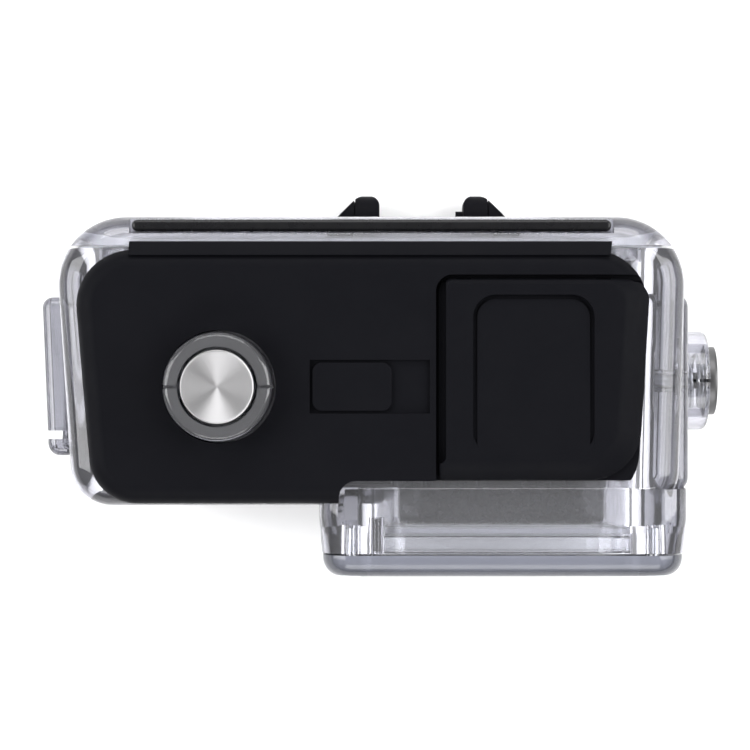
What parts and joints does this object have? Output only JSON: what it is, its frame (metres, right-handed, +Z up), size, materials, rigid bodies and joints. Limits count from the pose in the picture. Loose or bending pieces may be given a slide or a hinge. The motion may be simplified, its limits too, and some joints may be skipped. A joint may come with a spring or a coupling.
{
  "type": "action camera in dive housing",
  "caption": "Compact action camera sealed in a clear dive housing with a hinged rear door, top latch with lock, push buttons and a square lens port.",
  "frame": {"origin": "on the flat underside of the base plate, midway between the housing's side walls and between the body's front face and the rear door's outer face", "axes": "+Z up out of the top plate with the shutter button; -Y out of the lens port; +Y out of the rear door; +X towards the mode button"},
  "size_m": [0.0821, 0.0484, 0.0643],
  "materials": {
    "clear_shell": "polished clear polycarbonate",
    "smoke_ring": "smoky clear polycarbonate, polished",
    "window_glass": "flat optical glass",
    "black_plastic": "fine moulded texture",
    "camera_body": "soft-touch coating",
    "seal_rubber": "smooth moulded",
    "silicone": "pale translucent, soft satin",
    "steel": "satin",
    "spun_aluminium": "spun, circular grain",
    "brass": "machined",
    "circuit_board": "solder mask",
    "battery_case": "wrapped",
    "screen_glass": "polished"
  },
  "bodies": {
    "housing": {"front_shell": "clear_shell", "lens_port_bezel": "smoke_ring", "port_window": "window_glass", "port_gasket": "silicone", "base_plate": "black_plastic", "tripod_insert": "brass", "hinge_pin_left": "steel", "hinge_pin_right": "steel", "top_plate": "black_plastic", "latch_pin": "steel", "port_dowel": "black_plastic", "shutter_oring": "seal_rubber", "shutter_spring": "steel", "mode_oring": "seal_rubber", "mode_spring": "steel", "camera_shell": "camera_body", "camera_back": "camera_body", "rear_screen": "screen_glass", "front_screen": "screen_glass", "lens_ring": "black_plastic", "lens_glass": "window_glass", "lens_barrel": "camera_body", "lens_element_front": "window_glass", "lens_element_rear": "window_glass", "image_sensor": "screen_glass", "main_board": "circuit_board", "heat_spreader": "spun_aluminium", "battery": "battery_case", "memory_card": "black_plastic", "speaker": "steel", "camera_port_door": "camera_body", "camera_pad_left": "silicone", "camera_pad_right": "silicone", "bezel_screw_1": "steel", "base_screw_1": "steel", "bezel_screw_2": "steel", "base_screw_2": "steel", "bezel_screw_3": "steel", "base_screw_3": "steel", "bezel_screw_4": "steel", "base_screw_4": "steel"},
    "door": {"rear_door": "clear_shell", "door_seal": "silicone", "door_top_rail": "black_plastic", "door_hinge_bar": "black_plastic"},
    "latch": {"latch_lever": "black_plastic"},
    "lock": {"lock_slider": "black_plastic"},
    "shutter_plunger": {"shutter_cap": "spun_aluminium", "shutter_stem": "steel", "shutter_sleeve": "seal_rubber", "shutter_clip": "steel"},
    "mode_plunger": {"mode_cap": "spun_aluminium", "mode_stem": "steel", "mode_sleeve": "seal_rubber", "mode_clip": "steel"},
    "camera_shutter": {"camera_shutter_button": "camera_body"},
    "camera_mode": {"camera_mode_button": "camera_body"}
  },
  "joints": [
    {"name": "door_hinge", "type": "hinge", "parent": "housing", "child": "door", "pos_m": [0.00695, 0.02, 0.0032], "axis": [-1, 0, 0], "range_deg": [0, 95]},
    {"name": "latch_hinge", "type": "hinge", "parent": "housing", "child": "latch", "pos_m": [0.0202, 0.008, 0.0592], "axis": [-1, 0, 0], "range_deg": [0, 70]},
    {"name": "lock_slide", "type": "slide", "parent": "housing", "child": "lock", "axis": [1, 0, 0], "range_m": [0, 0.004]},
    {"name": "shutter_push", "type": "slide", "parent": "housing", "child": "shutter_plunger", "axis": [0, 0, -1], "range_m": [0, 0.0015], "stiffness_N_per_m": 800, "springref_m": -0.0004, "deforming": ["shutter_spring"]},
    {"name": "mode_push", "type": "slide", "parent": "housing", "child": "mode_plunger", "axis": [-1, 0, 0], "range_m": [0, 0.0012], "stiffness_N_per_m": 800, "springref_m": -0.0004, "deforming": ["mode_spring"]},
    {"name": "camera_shutter_push", "type": "slide", "parent": "housing", "child": "camera_shutter", "axis": [0, 0, -1], "range_m": [0, 0.0003], "stiffness_N_per_m": 1500, "springref_m": -0.0001},
    {"name": "camera_mode_push", "type": "slide", "parent": "housing", "child": "camera_mode", "axis": [-1, 0, 0], "range_m": [0, 0.0003], "stiffness_N_per_m": 1500, "springref_m": -0.0001}
  ]
}
